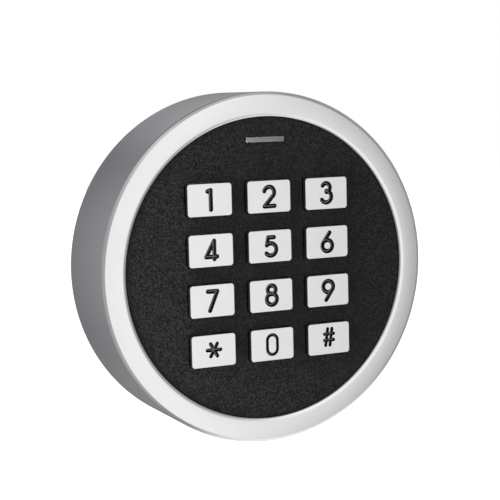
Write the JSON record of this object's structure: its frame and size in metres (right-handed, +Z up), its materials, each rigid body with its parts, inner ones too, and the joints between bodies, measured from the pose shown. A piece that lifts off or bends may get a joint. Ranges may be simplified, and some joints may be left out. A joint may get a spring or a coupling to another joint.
{
  "type": "keypad access reader",
  "caption": "Round wall-mounted keypad access reader: a satin metal ring around a recessed black face with raised engraved metal keys and a status light bar.",
  "frame": {"origin": "centre of the wall plate's back face, which lies on the wall", "axes": "+Z up when mounted, +Y into the wall, so the keypad faces -Y; +X to the right as seen by the user"},
  "size_m": [0.115, 0.033, 0.115],
  "materials": {
    "satin_ring": "satin",
    "satin_key": "satin",
    "black_face": "matte",
    "light_guide": "satin",
    "silicone": "matte",
    "solder_mask": "satin",
    "chip_plastic": "matte",
    "copper_wire": "satin",
    "bright_steel": "satin",
    "zinc_sheet": "satin",
    "cover_plastic": "matte",
    "seal_rubber": "matte",
    "connector_plastic": "satin",
    "cable_jacket": "satin",
    "insulation_red": "satin",
    "insulation_black": "satin",
    "insulation_green": "satin",
    "insulation_white": "satin",
    "led_red": "gloss",
    "led_green": "gloss",
    "led_blue": "gloss"
  },
  "bodies": {
    "reader": {"board_header": "connector_plastic", "board_screw_left": "bright_steel", "board_screw_right": "bright_steel", "buzzer": "chip_plastic", "cable": "cable_jacket", "cable_grommet": "seal_rubber", "cable_plug": "connector_plastic", "capacitor": "bright_steel", "cover_screw_bottom_left": "bright_steel", "cover_screw_bottom_right": "bright_steel", "cover_screw_top_left": "bright_steel", "cover_screw_top_right": "bright_steel", "cover_seal": "seal_rubber", "crystal": "bright_steel", "dome_0": "silicone", "dome_1": "silicone", "dome_2": "silicone", "dome_3": "silicone", "dome_4": "silicone", "dome_5": "silicone", "dome_6": "silicone", "dome_7": "silicone", "dome_8": "silicone", "dome_9": "silicone", "dome_hash": "silicone", "dome_star": "silicone", "face_plate": "black_face", "housing_shell": "satin_ring", "keypad_mat": "silicone", "light_bar": "light_guide", "main_board": "solder_mask", "microcontroller": "chip_plastic", "reader_chip": "chip_plastic", "reader_coil": "copper_wire", "rear_cover": "cover_plastic", "regulator": "chip_plastic", "security_screw": "bright_steel", "status_led_blue": "led_blue", "status_led_green": "led_green", "status_led_red": "led_red", "tamper_spring": "bright_steel", "tamper_switch": "chip_plastic", "wall_plate": "zinc_sheet", "wire_black": "insulation_black", "wire_green": "insulation_green", "wire_red": "insulation_red", "wire_white": "insulation_white"},
    "key_1": {"key_1": "satin_key"},
    "key_2": {"key_2": "satin_key"},
    "key_3": {"key_3": "satin_key"},
    "key_4": {"key_4": "satin_key"},
    "key_5": {"key_5": "satin_key"},
    "key_6": {"key_6": "satin_key"},
    "key_7": {"key_7": "satin_key"},
    "key_8": {"key_8": "satin_key"},
    "key_9": {"key_9": "satin_key"},
    "key_star": {"key_star": "satin_key"},
    "key_0": {"key_0": "satin_key"},
    "key_hash": {"key_hash": "satin_key"},
    "tamper_plunger": {"tamper_plunger": "bright_steel"}
  },
  "joints": [
    {"name": "key_1_press", "type": "slide", "parent": "reader", "child": "key_1", "axis": [0, 1, 0], "range_m": [0, 0.0012], "stiffness_N_per_m": 900, "deforming": ["dome_1"]},
    {"name": "key_2_press", "type": "slide", "parent": "reader", "child": "key_2", "axis": [0, 1, 0], "range_m": [0, 0.0012], "stiffness_N_per_m": 900, "deforming": ["dome_2"]},
    {"name": "key_3_press", "type": "slide", "parent": "reader", "child": "key_3", "axis": [0, 1, 0], "range_m": [0, 0.0012], "stiffness_N_per_m": 900, "deforming": ["dome_3"]},
    {"name": "key_4_press", "type": "slide", "parent": "reader", "child": "key_4", "axis": [0, 1, 0], "range_m": [0, 0.0012], "stiffness_N_per_m": 900, "deforming": ["dome_4"]},
    {"name": "key_5_press", "type": "slide", "parent": "reader", "child": "key_5", "axis": [0, 1, 0], "range_m": [0, 0.0012], "stiffness_N_per_m": 900, "deforming": ["dome_5"]},
    {"name": "key_6_press", "type": "slide", "parent": "reader", "child": "key_6", "axis": [0, 1, 0], "range_m": [0, 0.0012], "stiffness_N_per_m": 900, "deforming": ["dome_6"]},
    {"name": "key_7_press", "type": "slide", "parent": "reader", "child": "key_7", "axis": [0, 1, 0], "range_m": [0, 0.0012], "stiffness_N_per_m": 900, "deforming": ["dome_7"]},
    {"name": "key_8_press", "type": "slide", "parent": "reader", "child": "key_8", "axis": [0, 1, 0], "range_m": [0, 0.0012], "stiffness_N_per_m": 900, "deforming": ["dome_8"]},
    {"name": "key_9_press", "type": "slide", "parent": "reader", "child": "key_9", "axis": [0, 1, 0], "range_m": [0, 0.0012], "stiffness_N_per_m": 900, "deforming": ["dome_9"]},
    {"name": "key_star_press", "type": "slide", "parent": "reader", "child": "key_star", "axis": [0, 1, 0], "range_m": [0, 0.0012], "stiffness_N_per_m": 900, "deforming": ["dome_star"]},
    {"name": "key_0_press", "type": "slide", "parent": "reader", "child": "key_0", "axis": [0, 1, 0], "range_m": [0, 0.0012], "stiffness_N_per_m": 900, "deforming": ["dome_0"]},
    {"name": "key_hash_press", "type": "slide", "parent": "reader", "child": "key_hash", "axis": [0, 1, 0], "range_m": [0, 0.0012], "stiffness_N_per_m": 900, "deforming": ["dome_hash"]},
    {"name": "tamper_plunger_press", "type": "slide", "parent": "reader", "child": "tamper_plunger", "axis": [0, -1, 0], "range_m": [0, 0.001], "stiffness_N_per_m": 120, "deforming": ["tamper_spring"]}
  ]
}
